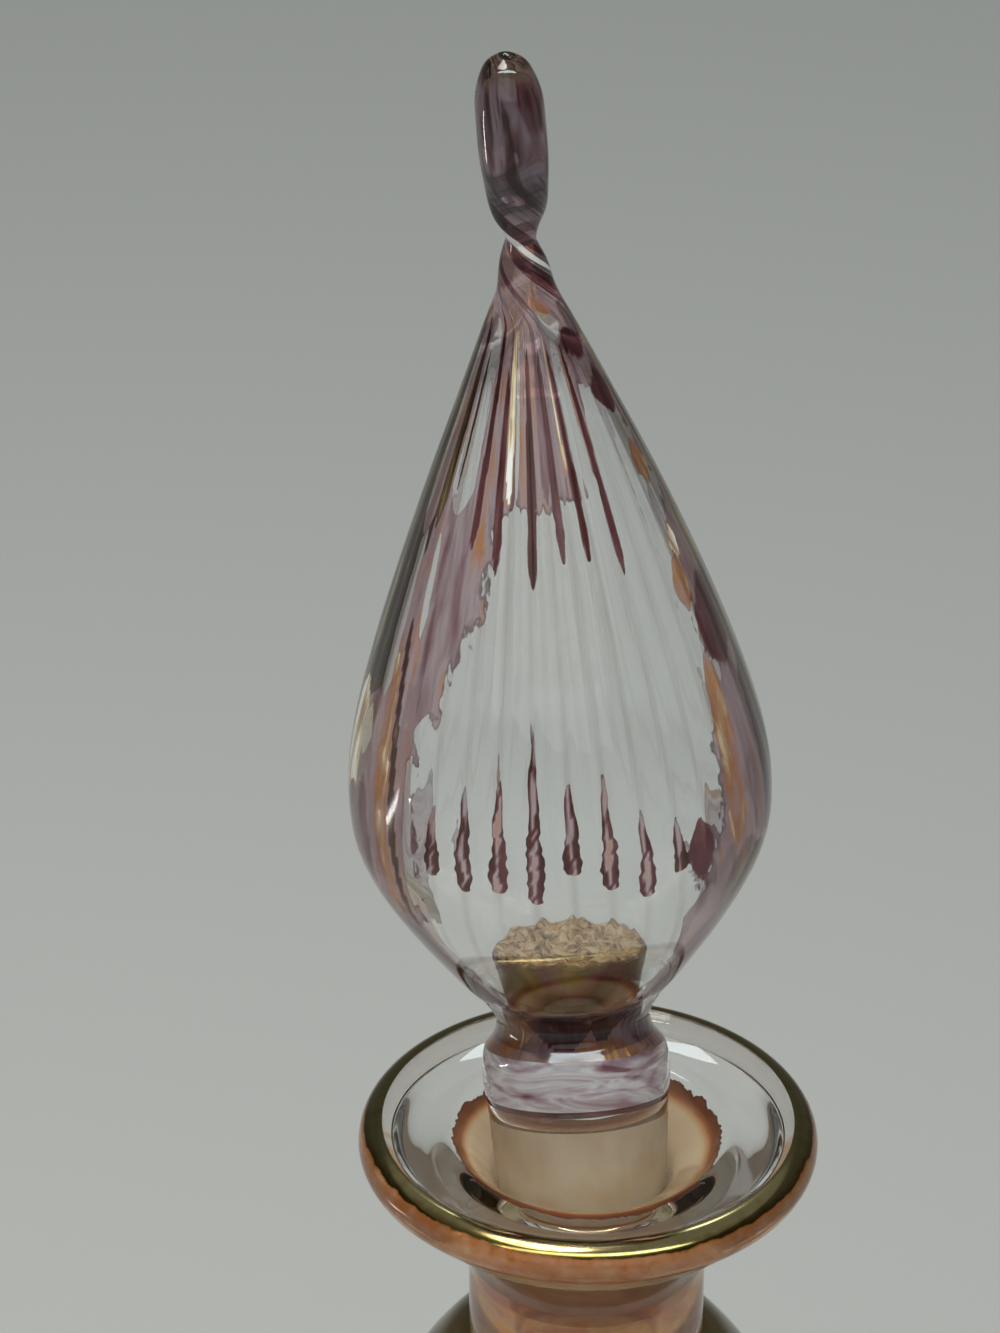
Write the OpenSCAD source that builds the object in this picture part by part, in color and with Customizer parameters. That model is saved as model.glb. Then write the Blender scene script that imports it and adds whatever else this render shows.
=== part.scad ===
// Blown glass bottle with a flame stopper, on a stem and a foot.
// Millimetres. It stands on z = 0, and the axis of its body is the Z axis.
// From below: foot, stem knop, pear-shaped body, neck, and a thick flared lip
// with a ground socket. The stopper is fused from a ground plug, a collar, a
// core, a hollow flame and a solid finial, and it lifts out along its own axis.

/* [Foot] */
// Diameter of the foot
foot_d = 38; // [34:1:44]
// Height of the foot, from the table to the stem
foot_h = 6.5; // [5:0.5:9]
// Thickness of the foot at its rounded edge
foot_edge_h = 2.6; // [2:0.2:3.6]
// Width of the ring that touches the table
foot_rest_w = 5; // [3:0.5:7]
// Height of the hollow under the foot
kick_up = 2; // [1:0.25:3]

/* [Stem] */
// Diameter of the seats at both ends of the knop
stem_d = 9; // [7:0.5:10]
// Diameter of the knop
knop_d = 13; // [11:0.5:16]
// Height of the knop
knop_h = 7; // [5:0.5:10]

/* [Body] */
// Largest diameter of the body
body_d = 43; // [36:1:50]
// Height of the body below its widest place
body_belly_h = 30; // [24:1:36]
// Height of the body above its widest place
body_shoulder_h = 49.5; // [42:0.5:58]
// Thickness of the body's wall
body_wall = 1.8; // [1.2:0.1:2.6]
// Thickness of the glass at the bottom of the body
body_floor = 3; // [2:0.25:5]

/* [Neck and lip] */
// Outer diameter of the neck
neck_d = 14; // [13:0.5:16]
// Inner diameter of the neck
neck_bore_d = 8.6; // [7:0.2:9]
// Length of the neck between the shoulder and the lip
neck_h = 5; // [3:0.5:12]
// Outer diameter of the lip
lip_d = 26.9; // [23:0.1:31]
// Height of the lip, from the neck to its top
lip_h = 10; // [9:0.5:13]
// Thickness of the lip at its rounded edge
lip_edge_h = 2.8; // [2:0.1:3.6]
// Diameter of the mouth, where the dished top turns down into the throat
mouth_d = 16; // [14:0.5:18]
// Depth of the dished top, from the edge to the mouth
dish_depth = 1.1; // [0.6:0.1:1.6]
// Depth of the throat, from the top of the lip to the ground socket
throat_depth = 4.4; // [3.4:0.2:5.4]

/* [Stopper] */
// Lean of the stopper and of its socket towards -X, in degrees
stopper_lean = 3.1; // [0:0.1:4]
// Diameter of the ground plug at its top
plug_d = 10.6; // [9.8:0.1:11.4]
// Loss of the plug's diameter for each millimetre of its length
plug_taper = 0.11; // [0.06:0.01:0.14]
// Height of the plug's top above the lip
plug_rise = 1.6; // [0.6:0.2:3]
// Gap between the plug's tip and the bottom of the socket
plug_tip_gap = 0.6; // [0.3:0.1:1.5]
// Running clearance of the ground joint on the radius
ground_clearance = 0.05; // [0.02:0.01:0.1]
// Diameter of the collar
collar_d = 10.9; // [10.6:0.1:13]
// Height of the collar
collar_h = 3.8; // [3:0.2:5]

/* [Flame] */
// Diameter of the waist above the collar
waist_d = 9; // [8.4:0.1:10]
// Largest diameter of the flame
flame_d = 23.8; // [18:0.2:30]
// Height of the flame below its widest place
flame_belly_h = 17; // [14:0.5:22]
// Height of the flame above its widest place
flame_taper_h = 34.2; // [26:0.2:44]
// Thickness of the flame's wall
flame_wall = 1; // [0.7:0.1:1.6]
// Diameter of the flame where it is nipped in under the finial
nip_d = 1.8; // [1.4:0.1:2.6]

/* [Core and finial] */
// Diameter of the core inside the waist
core_d = 7.2; // [6:0.1:7.4]
// Diameter of the core's rough top
core_top_d = 8.4; // [7.4:0.1:8.8]
// Height of the core above the collar
core_h = 7.2; // [5:0.2:9]
// Diameter of the finial
finial_d = 3.7; // [2.8:0.1:5]
// Height of the finial
finial_h = 10.7; // [8:0.1:14]
// Further lean of the finial beyond the flame's, in degrees
finial_lean = 3.5; // [0:0.5:6]

/* [Gilding] */
// Thickness of the gilded skins
gilding_t = 0.2; // [0.1:0.05:0.3]
// Width of the gilded line round the foot, as an angle on its rounded edge
foot_gilding_angle = 70; // [30:5:100]

/* [Hidden] */
$fn = 144;

// How far a cut runs past the face that it opens
overrun = 0.5;
// Pieces of curve drawn between two chosen points of an outline
curve_steps = 4;
// Pieces of curve round an edge
edge_steps = 14;

// Heights of the seats between the pieces, from the table up
stem_z = foot_h;
body_z = stem_z + knop_h;
belly_z = body_z + body_belly_h;
neck_z = belly_z + body_shoulder_h;
lip_z = neck_z + neck_h;
top_z = lip_z + lip_h;

// Shares of the height and of the swelling from the stem to the body's widest place
body_rise_shares = [[0, 0], [0.05, 0.1], [0.15, 0.32], [0.35, 0.66], [0.6, 0.88],
                    [0.8, 0.97], [1, 1]];
// Shares of the height and of the swelling from the body's widest place to the neck
body_taper_shares = [[0.2, 0.965], [0.4, 0.84], [0.6, 0.65], [0.8, 0.41], [0.9, 0.28],
                     [0.97, 0.12], [1, 0]];
// The same for the flame, from the waist up and from its widest place to the nip
flame_rise_shares = [[0, 0.01], [0.1, 0], [0.29, 0.2], [0.59, 0.65], [0.82, 0.925], [1, 1]];
flame_taper_shares = [[0.12, 0.964], [0.3, 0.808], [0.535, 0.548], [0.775, 0.246],
                      [0.92, 0.062], [1, 0]];
// Shares of the finial's height and of its swelling beyond the nip, then of its closing
finial_rise_shares = [[0, 0], [0.18, 0.53], [0.37, 0.95], [0.6, 1]];
finial_close_shares = [[0.785, 0.95], [0.925, 0.67], [0.98, 0.3], [1, 0]];
// Shares of the collar's height and of its bulge beyond the plug, then beyond the waist
collar_low_shares = [[0, 0], [0.3, 1], [0.55, 0.95]];
collar_high_shares = [[0.8, 0.72], [1, 0.06]];
// Shares of the lip's underside: of its depth and of its flare beyond the neck
lip_flare_shares = [[0.16, 0.84], [0.3, 0.62], [0.43, 0.38], [0.58, 0.17], [0.8, 0.04], [1, 0]];
// Shares of the dished top: of its width and of its depth
dish_shares = [[0.8, 0.45], [0.4, 0.85], [0, 1]];
// Shares of the throat below the mouth: of its depth and of its width beyond the socket
throat_shares = [[0.14, 0.8], [0.36, 0.46], [0.66, 0.15], [1, 0]];
// Shares of the foot's top: of its width beyond the stem and of its rise
foot_top_shares = [[0.75, 0.12], [0.5, 0.27], [0.25, 0.5], [0.08, 0.78], [0, 1]];
// Shares of the hollow under the foot: of its width and of its height
kick_shares = [[0, 1], [0.5, 0.8], [0.8, 0.35], [1, 0]];
// Height share of the flame's lower part at which the core's bore opens into the hollow
flame_opened_share = 0.14;
// Height share of the flame's taper at which its hollow closes
flame_closed_share = 0.86;
// Shares of the knop's radius swell along its height
knop_shares = [[0, 0], [0.2, 0.6], [0.35, 0.9], [0.5, 1], [0.65, 0.9], [0.8, 0.6], [1, 0]];

// Heights along the stopper's own axis, measured from the bottom of the socket
plug_tip_z = plug_tip_gap;
plug_top_z = lip_h + plug_rise;
collar_top_z = plug_top_z + collar_h;
hollow_z = collar_top_z + flame_belly_h * flame_opened_share;
flame_top_z = collar_top_z + flame_belly_h + flame_taper_h;

// Where the rounded edge of the lip ends, as angles up and down from the horizontal
lip_edge_up = 90;
lip_edge_down = 80;

// A point on the smooth curve through b and c, with a and d beside them
function curve_point(a, b, c, d, t) =
    (2 * b + (c - a) * t + (2 * a - 5 * b + 4 * c - d) * pow(t, 2)
     + (3 * b - a - 3 * c + d) * pow(t, 3)) / 2;

// The smooth curve through all points of a list
function smooth(p) = concat(
    [for (i = [0 : len(p) - 2]) for (k = [0 : curve_steps - 1])
        curve_point(p[max(i - 1, 0)], p[i], p[i + 1], p[min(i + 2, len(p) - 1)],
                    k / curve_steps)],
    [p[len(p) - 1]]);

// Points of an arc round a centre, as [radius, height] pairs
function arc(centre, r, from, to) =
    [for (k = [0 : edge_steps])
        centre + r * [cos(from + (to - from) * k / edge_steps),
                      sin(from + (to - from) * k / edge_steps)]];

// Outline points of a form that swells from r0 to r1 over a height, by its shares
function swell(shares, z0, height, r0, r1) =
    [for (s = shares) [r0 + (r1 - r0) * s[1], z0 + height * s[0]]];

// The part of an outline between two heights
function between(p, z0, z1) = [for (q = p) if (q[1] > z0 && q[1] < z1) q];

module lathe(outline) {
    rotate_extrude()
        polygon(outline);
}

// Puts a piece on the stopper's leaning axis, with z = 0 at the bottom of the socket
module on_stopper_axis() {
    translate([0, 0, lip_z])
        rotate([0, -stopper_lean, 0])
            children();
}

// The foot's rounded edge, from its underside to its top
foot_edge_r = foot_edge_h / 2;
foot_edge_centre = [foot_d / 2 - foot_edge_r, foot_edge_r];

// The gilded skin with its outside at outer_r, which is larger where it cuts its own seat
module foot_edge_band(outer_r) {
    half = foot_gilding_angle / 2;
    lathe(concat(arc(foot_edge_centre, outer_r, -half, half),
                 arc(foot_edge_centre, foot_edge_r - gilding_t, half, -half)));
}

module foot_disc() {
    rest_r = foot_edge_centre[0] - foot_rest_w;
    top_w = foot_edge_centre[0] - stem_d / 2;
    underside = [for (s = kick_shares) [rest_r * s[0], kick_up * s[1]]];
    top = [for (s = foot_top_shares)
        [stem_d / 2 + top_w * s[0], foot_edge_h + (foot_h - foot_edge_h) * s[1]]];
    edge = arc(foot_edge_centre, foot_edge_r, -90, 90);
    color("#7a6a52")
        difference() {
            lathe(concat(smooth(underside), edge, smooth(concat([edge[edge_steps]], top)),
                         [[0, foot_h]]));
            foot_edge_band(foot_edge_r + overrun);
        }
}

module foot_gilding() {
    color("#a98b3c")
        foot_edge_band(foot_edge_r);
}

module stem_knop() {
    color("#8a7690")
        translate([0, 0, stem_z])
            lathe(concat([[0, 0]], smooth(swell(knop_shares, 0, knop_h, stem_d / 2, knop_d / 2)),
                         [[0, knop_h]]));
}

body_outline = smooth(concat(
    swell(body_rise_shares, body_z, body_belly_h, stem_d / 2, body_d / 2),
    swell(body_taper_shares, belly_z, body_shoulder_h, neck_d / 2, body_d / 2)));

module body_bulb() {
    floor_z = body_z + body_floor;
    inside = [for (p = between(body_outline, floor_z, neck_z))
        [max(p[0] - body_wall, neck_bore_d / 2), p[1]]];
    color("#8d6f8f")
        difference() {
            lathe(concat([[0, body_z]], body_outline, [[0, neck_z]]));
            lathe(concat([[0, floor_z]], inside,
                         [[neck_bore_d / 2, neck_z + overrun], [0, neck_z + overrun]]));
        }
}

module neck_tube() {
    color("#b08a6a")
        translate([0, 0, neck_z])
            difference() {
                cylinder(h = neck_h, d = neck_d);
                translate([0, 0, -overrun])
                    cylinder(h = neck_h + 2 * overrun, d = neck_bore_d);
            }
}

// Diameter of the plug at a height on the stopper's axis
function plug_d_at(z) = plug_d - plug_taper * (plug_top_z - z);

lip_edge_r = lip_edge_h / 2;
lip_edge_centre = [lip_d / 2 - lip_edge_r, top_z - lip_edge_r];

// The gilded skin with its outside at outer_r, which is larger where it cuts its own seat
module lip_edge_band(outer_r) {
    lathe(concat(arc(lip_edge_centre, outer_r, -lip_edge_down, lip_edge_up),
                 arc(lip_edge_centre, lip_edge_r - gilding_t, lip_edge_up, -lip_edge_down)));
}

// The socket follows the plug's taper, wider by the clearance all the way
module socket_cut() {
    on_stopper_axis()
        translate([0, 0, -overrun])
            cylinder(h = plug_top_z + overrun,
                     d1 = plug_d_at(-overrun) + 2 * ground_clearance,
                     d2 = plug_d + 2 * ground_clearance);
}

module mouth_lip() {
    socket_r = plug_d_at(lip_h - throat_depth) / 2;
    mouth_z = top_z - dish_depth;
    dish_w = lip_edge_centre[0] - mouth_d / 2;
    edge = arc(lip_edge_centre, lip_edge_r, -lip_edge_down, lip_edge_up);
    flare_w = edge[0][0] - neck_d / 2;
    flare_h = edge[0][1] - lip_z;
    flare = [for (s = lip_flare_shares)
        [neck_d / 2 + flare_w * s[1], edge[0][1] - flare_h * s[0]]];
    dish = [for (s = dish_shares) [mouth_d / 2 + dish_w * s[0], top_z - dish_depth * s[1]]];
    throat = [for (s = throat_shares)
        [socket_r + (mouth_d / 2 - socket_r) * s[1],
         mouth_z - (throat_depth - dish_depth) * s[0]]];
    under = smooth(concat([edge[0]], flare));
    color("#b9bfbd")
        difference() {
            lathe(concat([for (k = [len(under) - 1 : -1 : 1]) under[k]], edge,
                         smooth(concat([edge[edge_steps]], dish, throat)),
                         [[0, top_z - throat_depth], [0, lip_z]]));
            lip_edge_band(lip_edge_r + overrun);
            socket_cut();
        }
}

module lip_gilding() {
    color("#a08434")
        lip_edge_band(lip_edge_r);
}

module ground_plug() {
    color("#c9bfa6")
        on_stopper_axis()
            translate([0, 0, plug_tip_z])
                cylinder(h = plug_top_z - plug_tip_z, d1 = plug_d_at(plug_tip_z), d2 = plug_d);
}

module stopper_collar() {
    color("#9a86a0")
        on_stopper_axis()
            lathe(concat([[0, plug_top_z]],
                         smooth(concat(
                             swell(collar_low_shares, plug_top_z, collar_h, plug_d / 2,
                                   collar_d / 2),
                             swell(collar_high_shares, plug_top_z, collar_h, waist_d / 2,
                                   collar_d / 2))),
                         [[0, collar_top_z]]));
}

module waist_core() {
    color("#8a5a24")
        on_stopper_axis()
            lathe([[0, collar_top_z], [core_d / 2, collar_top_z], [core_d / 2, hollow_z],
                   [core_top_d / 2, collar_top_z + core_h], [0, collar_top_z + core_h]]);
}

flame_outline = smooth(concat(
    swell(flame_rise_shares, collar_top_z, flame_belly_h, waist_d / 2, flame_d / 2),
    swell(flame_taper_shares, collar_top_z + flame_belly_h, flame_taper_h, nip_d / 2,
          flame_d / 2)));

module stopper_flame() {
    closed_z = collar_top_z + flame_belly_h + flame_taper_h * flame_closed_share;
    belly_z = collar_top_z + flame_belly_h;
    hollow = [for (p = between(flame_outline, hollow_z, closed_z))
        [max(p[0] - flame_wall, p[1] < belly_z ? core_d / 2 : 0), p[1]]];
    last = len(hollow) - 1;
    color("#8f6f94")
        on_stopper_axis()
            difference() {
                lathe(concat([[0, collar_top_z]], flame_outline, [[0, flame_top_z]]));
                lathe(concat([[0, collar_top_z - overrun], [core_d / 2, collar_top_z - overrun],
                              [core_d / 2, hollow_z]], hollow, [[0, hollow[last][1]]]));
            }
}

// The finial's root runs on below its seat, which then trims it flush with the flame's top
module stopper_finial() {
    root_h = nip_d / 2;
    outline = smooth(concat(
        swell(finial_rise_shares, 0, finial_h, nip_d / 2, finial_d / 2),
        swell(finial_close_shares, 0, finial_h, 0, finial_d / 2)));
    color("#8c7a94")
        on_stopper_axis()
            translate([0, 0, flame_top_z])
                difference() {
                    rotate([0, -finial_lean, 0])
                        lathe(concat([[0, -root_h], [nip_d / 2, -root_h]], outline));
                    translate([0, 0, -2 * root_h])
                        cylinder(h = 2 * root_h, d = 2 * nip_d);
                }
}

foot_disc();
foot_gilding();
stem_knop();
body_bulb();
neck_tube();
mouth_lip();
lip_gilding();
ground_plug();
stopper_collar();
waist_core();
stopper_flame();
stopper_finial();
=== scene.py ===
# %% [markdown]
# # A blown glass bottle with a flame stopper
#
# The bottle is the kind that is blown by hand at a lamp: a foot, a knop and a pear-shaped body,
# a thick flared lip with a gilded edge, and a stopper that is a hollow ribbed flame on a ground
# plug. Every piece but the gold is glass, so this lesson is mostly about how light goes through
# walls, ribs and stains.
#
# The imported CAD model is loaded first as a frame. Each piece made here takes the place of one
# of its solids, with the same sizes.

# %% Load the frame
import math

import bpy
import numpy as np
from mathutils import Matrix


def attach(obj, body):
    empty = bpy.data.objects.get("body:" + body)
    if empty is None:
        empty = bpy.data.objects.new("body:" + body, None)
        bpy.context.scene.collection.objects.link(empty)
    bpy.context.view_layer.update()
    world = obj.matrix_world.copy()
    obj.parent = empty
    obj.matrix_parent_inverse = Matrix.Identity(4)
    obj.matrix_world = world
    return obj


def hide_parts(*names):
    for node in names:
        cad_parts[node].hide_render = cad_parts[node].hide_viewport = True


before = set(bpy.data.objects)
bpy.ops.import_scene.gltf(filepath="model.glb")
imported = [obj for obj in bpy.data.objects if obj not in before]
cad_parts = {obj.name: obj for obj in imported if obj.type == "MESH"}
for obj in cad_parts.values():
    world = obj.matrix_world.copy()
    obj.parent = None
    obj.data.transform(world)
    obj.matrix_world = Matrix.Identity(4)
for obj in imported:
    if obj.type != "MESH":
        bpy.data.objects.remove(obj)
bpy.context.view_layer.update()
MM = 0.001

# %% [markdown]
# ## The camera
#
# The picture was taken from above, close up, with the lens tipped about 30 degrees down. The
# place and the tilt follow from the ellipse of the lip and from how much the finial is
# magnified against the neck. A long lens keeps the bottle as upright as it looks there.

# %% The camera
CAMERA_PLACE = (0.0, -245.70 * MM, 279.07 * MM)
TILT_DOWN = math.radians(29.8)
TURN_LEFT = math.radians(1.2018)
LENS_MM, SENSOR_MM = 137.73, 36

camera_data = bpy.data.cameras.new("camera")
camera_data.lens = LENS_MM
camera_data.sensor_width = SENSOR_MM
camera_data.clip_start = 0.01
camera = bpy.data.objects.new("camera", camera_data)
camera.location = CAMERA_PLACE
camera.rotation_euler = (math.radians(90) - TILT_DOWN, 0, TURN_LEFT)
bpy.context.collection.objects.link(camera)
bpy.context.scene.camera = camera
print("camera", round(camera.location.length / MM), "mm from the foot")

# %% [markdown]
# ## Colours and nodes
#
# Colours are written as they look on a screen, in hex, and one function turns them into the
# linear values that the renderer calculates with. One more function adds a shader node with its
# settings and its links, so that each material below reads as a short list.

# %% Colours and nodes
def srgb(code):
    """Turns a colour such as "#c8864a" into linear red, green, blue and alpha."""
    parts = [int(code[i:i + 2], 16) / 255 for i in (1, 3, 5)]
    return [p / 12.92 if p <= 0.04045 else ((p + 0.055) / 1.055) ** 2.4 for p in parts] + [1.0]


def add(tree, kind, settings=None, inputs=None, stops=None, out=0):
    """Adds one node and returns one of its outputs. An input is a value or another's output."""
    node = tree.nodes.new("ShaderNode" + kind)
    for name, value in (settings or {}).items():
        setattr(node, name, value)
    for name, value in (inputs or {}).items():
        if isinstance(value, bpy.types.NodeSocket):
            tree.links.new(value, node.inputs[name])
        else:
            node.inputs[name].default_value = value
    if stops:
        ramp = node.color_ramp
        while len(ramp.elements) < len(stops):
            ramp.elements.new(0.5)
        for element, (place, code) in zip(ramp.elements, stops):
            element.position = place
            element.color = srgb(code)
    return node.outputs[out] if node.outputs else None


def new_material(name):
    """A material without nodes, and the tree that its nodes go in."""
    made = bpy.data.materials.new(name)
    made.use_nodes = True
    made.node_tree.nodes.clear()
    return made, made.node_tree


# %% [markdown]
# ## The studio
#
# The floor is plain pale paper that curves up all round, far away, so that no hard horizon
# shows from any side. A glass takes its whole look from its surroundings: what it shows in the
# middle is the floor behind it, and what it shows at its edges is the room at the side. So the
# main light is a soft pool from above that grows weaker with distance. Long soft panels give
# the white reflections that lie on the rounded shoulders of the glass.

# %% The floor
# In metres: how far out the paper is flat, how far out it stands upright, and how high.
FLOOR_FLAT, FLOOR_WIDE, FLOOR_UP = 1.7, 3.4, 2.9
FLOOR_SIDES, CURVE_STEPS = 96, 24

floor_rings = [(0.0, 0.0), (FLOOR_FLAT / 2, 0.0), (FLOOR_FLAT, 0.0)]
for k in range(1, CURVE_STEPS + 1):
    angle = math.radians(90) * k / CURVE_STEPS
    floor_rings.append((FLOOR_FLAT + (FLOOR_WIDE - FLOOR_FLAT) * math.sin(angle),
                        FLOOR_UP * (1 - math.cos(angle))))
floor_points = [(0, 0, 0)] + [
    (r * math.cos(math.tau * k / FLOOR_SIDES), r * math.sin(math.tau * k / FLOOR_SIDES), z)
    for r, z in floor_rings[1:] for k in range(FLOOR_SIDES)]
floor_faces = [(0, 1 + k, 1 + (k + 1) % FLOOR_SIDES) for k in range(FLOOR_SIDES)]
for ring in range(len(floor_rings) - 2):
    start = 1 + ring * FLOOR_SIDES
    for k in range(FLOOR_SIDES):
        after = (k + 1) % FLOOR_SIDES
        floor_faces.append((start + k, start + FLOOR_SIDES + k, start + FLOOR_SIDES + after,
                            start + after))
floor_mesh = bpy.data.meshes.new("studio_floor")
floor_mesh.from_pydata(floor_points, [], floor_faces)
floor_mesh.shade_smooth()
floor = bpy.data.objects.new("studio_floor", floor_mesh)
bpy.context.collection.objects.link(floor)

# Matt paper has no gleam. Its grey drifts a little, in a few clouds across the whole sheet.
CLOUDS_ACROSS = 4.0
paper, tree = new_material("matt_backdrop_paper")
clouds = add(tree, "TexNoise", {}, {"Scale": CLOUDS_ACROSS, "Detail": 2.0})
tone = add(tree, "ValToRGB", {}, {"Fac": clouds}, [(0.3, "#a8a6a2"), (0.7, "#aba9a5")])
add(tree, "OutputMaterial", {}, {"Surface": add(tree, "BsdfPrincipled", {}, {
    "Base Color": tone, "Roughness": 0.9, "Specular IOR Level": 0.2})})
floor_mesh.materials.append(paper)
print("floor", len(floor_faces), "faces")

# %% The lights
def panel(name, place, aim, size, power, colour):
    """A rectangular light of size (wide, deep) in metres that faces the point aim."""
    light = bpy.data.lights.new(name, "AREA")
    light.shape = "RECTANGLE"
    light.size, light.size_y = size
    light.energy = power
    light.color = srgb(colour)[:3]
    lamp = bpy.data.objects.new(name, light)
    lamp.location = place
    towards = np.array(aim, float) - np.array(place, float)
    flat = math.hypot(towards[0], towards[1])
    lamp.rotation_euler = (math.atan2(flat, -towards[2]), 0,
                           math.atan2(towards[1], towards[0]) - math.radians(90))
    lamp.visible_camera = False
    bpy.context.collection.objects.link(lamp)
    return lamp


BOTTLE_MIDDLE = (0, 0, 0.1)

# The pool over the bottle.
pool = panel("soft_ceiling_light", (-0.12, -0.06, 0.6), (-0.08, 0.02, 0), (0.25, 0.25), 0.52,
             "#fffaf4")
pool.data.spread = math.radians(95)
pool.data.shape = "DISK"
# A long one high behind the camera, which the collar reflects, and a narrow one behind the
# bottle.
long_light = panel("long_light_near", (0.04, -0.61, 1.1), BOTTLE_MIDDLE, (1.7, 0.23), 11.0,
                   "#e8fbff")
long_light.data.shape = "ELLIPSE"              # its reflections taper to both ends
panel("narrow_light_far", (0.0, 0.62, 1.0), BOTTLE_MIDDLE, (0.5, 0.14), 1.5, "#f0fcff")
# A broad one far in front, and a small bright card low on the left.
front = panel("soft_front_light", (0.0, -1.6, 0.68), BOTTLE_MIDDLE, (2.2, 0.9), 4.6, "#fffdfa")
card = panel("low_card_left", (-0.358, 0.035, 0.004), (-0.358, 0.035, 1), (0.19, 0.02), 0.15,
             "#fffcf6")
card.rotation_euler.z = math.radians(21)
for lamp in (front, card):
    lamp.visible_transmission = False      # seen as a gleam on the glass, never through it

world = bpy.data.worlds.new("room")
world.use_nodes = True
world.node_tree.nodes.clear()
room = add(world.node_tree, "Background", {}, {"Color": srgb("#e5e6e6"), "Strength": 0.38})
add(world.node_tree, "OutputWorld", {}, {"Surface": room})
scene = bpy.context.scene
scene.world = world
scene.view_settings.view_transform = "Standard"
# Light crosses many walls of glass here, so its paths may be long. The clamp stops stray specks.
scene.cycles.max_bounces = 40
scene.cycles.transmission_bounces = 32
scene.cycles.transparent_max_bounces = 32
scene.cycles.sample_clamp_indirect = 6

# %% [markdown]
# ## Turned forms
#
# A blown piece is round because it was turned in the flame, so each one starts as an outline
# that is spun round an axis. A few points, chosen as shares of the height and of the swelling,
# are joined by a smooth curve. The sizes and shares are those of the solids, apart from small
# forms that the steps below name.

# %% Outlines
def smooth(points):
    """The smooth curve through all the points."""
    steps = 8
    p = np.array(points, float)
    found = []
    for i in range(len(p) - 1):
        a, b, c, d = p[max(i - 1, 0)], p[i], p[i + 1], p[min(i + 2, len(p) - 1)]
        for k in range(steps):
            t = k / steps
            found.append((2 * b + (c - a) * t + (2 * a - 5 * b + 4 * c - d) * t ** 2
                          + (3 * b - a - 3 * c + d) * t ** 3) / 2)
    return [tuple(q) for q in found] + [tuple(p[-1])]


def swell(shares, low, height, r0, r1):
    """Outline points of a form that swells from r0 to r1 over a height."""
    return [(r0 + (r1 - r0) * share, low + height * rise) for rise, share in shares]


def arc(centre, radius, start, end, steps=20):
    """Points on an arc. Its angles are in degrees, 0 outwards and 90 up."""
    angles = np.radians(np.linspace(start, end, steps + 1))
    return [(centre[0] + radius * math.cos(a), centre[1] + radius * math.sin(a))
            for a in angles]


def even(points, gap):
    """The same outline with its points about one gap apart, so that the mesh is even."""
    p = np.array(points, float)
    run = np.concatenate([[0], np.cumsum(np.hypot(*np.diff(p, axis=0).T))])
    places = np.linspace(0, run[-1], max(2, round(run[-1] / gap) + 1))
    return [tuple(q) for q in np.stack([np.interp(places, run, p[:, 0]),
                                        np.interp(places, run, p[:, 1])], 1)]


def ease(value, low, high):
    """Goes smoothly from 0 at low to 1 at high."""
    t = np.clip((value - low) / (high - low), 0, 1)
    return t * t * (3 - 2 * t)


# %% [markdown]
# ## Spinning an outline into a mesh
#
# The mesh is built ring by ring. Angle 0 faces the camera and grows towards +X. A form
# function may move each ring's points, which is how ribs, a twist or a lean get in. A run of
# the outline can have a material of its own: glass that was fused to more glass has no optical
# surface there, so such a seat gets a finish that lets light pass straight on.
#
# Each point also keeps where it was before the form moved it, as a place on an even cylinder in
# millimetres. Stains that ran along the ribs are drawn in those coordinates. Where the glass was
# twisted, the lines of the mesh run with the twist.

# %% Spin
SAME_MM = 1e-4                     # points closer than this are one
CREASE = math.radians(50)          # a sharper bend between two faces stays sharp


def upright(r, turn, z):
    """From radius, turn and height to x, y and z round an upright axis."""
    return r * np.sin(turn), -r * np.cos(turn), z


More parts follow.
